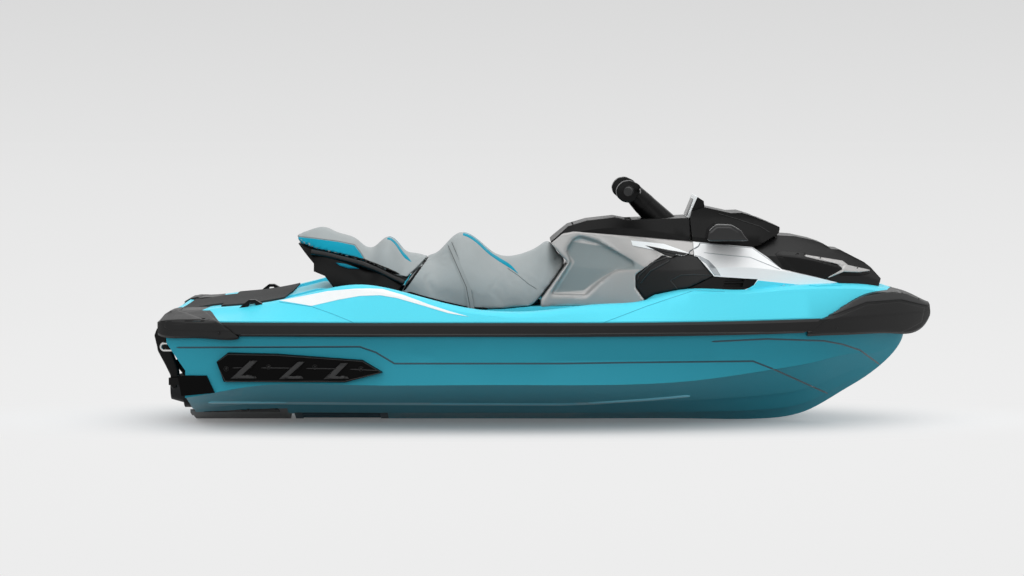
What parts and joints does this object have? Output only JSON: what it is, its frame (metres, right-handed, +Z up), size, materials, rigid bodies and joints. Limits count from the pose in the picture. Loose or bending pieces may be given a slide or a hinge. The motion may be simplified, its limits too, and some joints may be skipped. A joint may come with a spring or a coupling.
{
  "type": "personal watercraft",
  "caption": "Personal watercraft with a V hull, jet drive, straddle seats, inclined handlebar, opening lids and a folding boarding ladder.",
  "frame": {"origin": "on the waterline of the empty craft afloat, on the centre plane, at the centre of buoyancy", "axes": "+X towards the bow, +Y to port, +Z up"},
  "size_m": [3.4258, 1.259, 1.0719],
  "materials": {
    "hull_paint": "glossy metallic teal gelcoat",
    "deck_paint": "glossy light turquoise",
    "silver_paint": "glossy silver metallic",
    "white_paint": "glossy pearl white",
    "gloss_black": "high-gloss black",
    "pad_rubber": "soft moulded foam rubber, pale grey",
    "black_plastic": "satin black, moulded",
    "grey_plastic": "matt dark grey",
    "seat_vinyl": "grained marine vinyl",
    "mat_foam": "grooved foam mat",
    "grip_rubber": "ribbed rubber",
    "stainless": "polished stainless steel",
    "cast_aluminium": "cast, anodised grey"
  },
  "bodies": {
    "hull": {"hull": "hull_paint", "deck": "deck_paint", "ride_plate": "grey_plastic", "intake_grate": "black_plastic", "stern_bumper": "black_plastic", "gunwale_rails": "black_plastic", "bow_bumper": "black_plastic", "sponsons": "black_plastic", "stern_chine_guards": "black_plastic", "tow_eyes": "stainless", "deck_cleats": "black_plastic", "pump_housing": "cast_aluminium", "gate_pins": "stainless", "ladder_brackets": "black_plastic", "platform_mat": "mat_foam", "footwell_mats": "mat_foam", "engine_block": "cast_aluminium", "driver_cushion": "seat_vinyl", "seat_strap": "seat_vinyl", "console_sides": "silver_paint", "knee_pads": "pad_rubber", "console_blades": "white_paint", "speaker_pods": "black_plastic", "side_vents": "black_plastic", "front_fenders": "white_paint", "console_top": "black_plastic", "front_hood": "gloss_black", "hood_inserts": "gloss_black", "hood_blades": "silver_paint"},
    "handlebar": {"column_cover": "black_plastic", "handlebar": "black_plastic", "grips": "grip_rubber", "levers": "black_plastic"},
    "trim_ring": {"trim_ring": "cast_aluminium"},
    "nozzle": {"steering_nozzle": "cast_aluminium"},
    "gate": {"reverse_gate": "black_plastic"},
    "impeller": {"impeller": "stainless", "drive_shaft": "stainless"},
    "ladder": {"boarding_ladder": "black_plastic"},
    "front_lid": {"storage_lid": "black_plastic", "gauge": "silver_paint", "mirrors": "gloss_black"},
    "glovebox": {"glovebox_lid": "black_plastic"},
    "passenger_seat": {"passenger_base": "black_plastic", "passenger_cushion": "seat_vinyl"}
  },
  "joints": [
    {"name": "steering", "type": "hinge", "parent": "hull", "child": "handlebar", "pos_m": [0.7, 0, 0.643], "axis": [-0.7071, 0, 0.7071], "range_deg": [-23, 23]},
    {"name": "trim", "type": "hinge", "parent": "hull", "child": "trim_ring", "pos_m": [-1.397, 0, -0.112], "axis": [0, 1, 0], "range_deg": [-6, 8]},
    {"name": "nozzle_yaw", "type": "hinge", "parent": "trim_ring", "child": "nozzle", "pos_m": [-1.397, 0, -0.112], "axis": [0, 0, 1], "range_deg": [-18, 18]},
    {"name": "reverse", "type": "hinge", "parent": "hull", "child": "gate", "pos_m": [-1.349, 0, -0.112], "axis": [0, -1, 0], "range_deg": [0, 75]},
    {"name": "impeller_spin", "type": "hinge", "parent": "hull", "child": "impeller", "pos_m": [-1.161, 0, -0.112], "axis": [1, 0, 0], "continuous": true},
    {"name": "ladder_fold", "type": "hinge", "parent": "hull", "child": "ladder", "pos_m": [-1.44115, 0, -0.058], "axis": [0, -1, 0], "range_deg": [0, 150]},
    {"name": "front_lid_hinge", "type": "hinge", "parent": "hull", "child": "front_lid", "pos_m": [1.21189, 0, 0.596], "axis": [0, 1, 0], "range_deg": [0, 60]},
    {"name": "glovebox_hinge", "type": "hinge", "parent": "hull", "child": "glovebox", "pos_m": [0.54294, 0, 0.6392], "axis": [0, 1, 0], "range_deg": [0, 50]},
    {"name": "seat_lift", "type": "hinge", "parent": "hull", "child": "passenger_seat", "pos_m": [-0.324, 0, 0.483], "axis": [0, 1, 0], "range_deg": [0, 35]}
  ],
  "couplings": [
    {"joint": "nozzle_yaw", "follows": "steering", "ratio": -0.78}
  ]
}
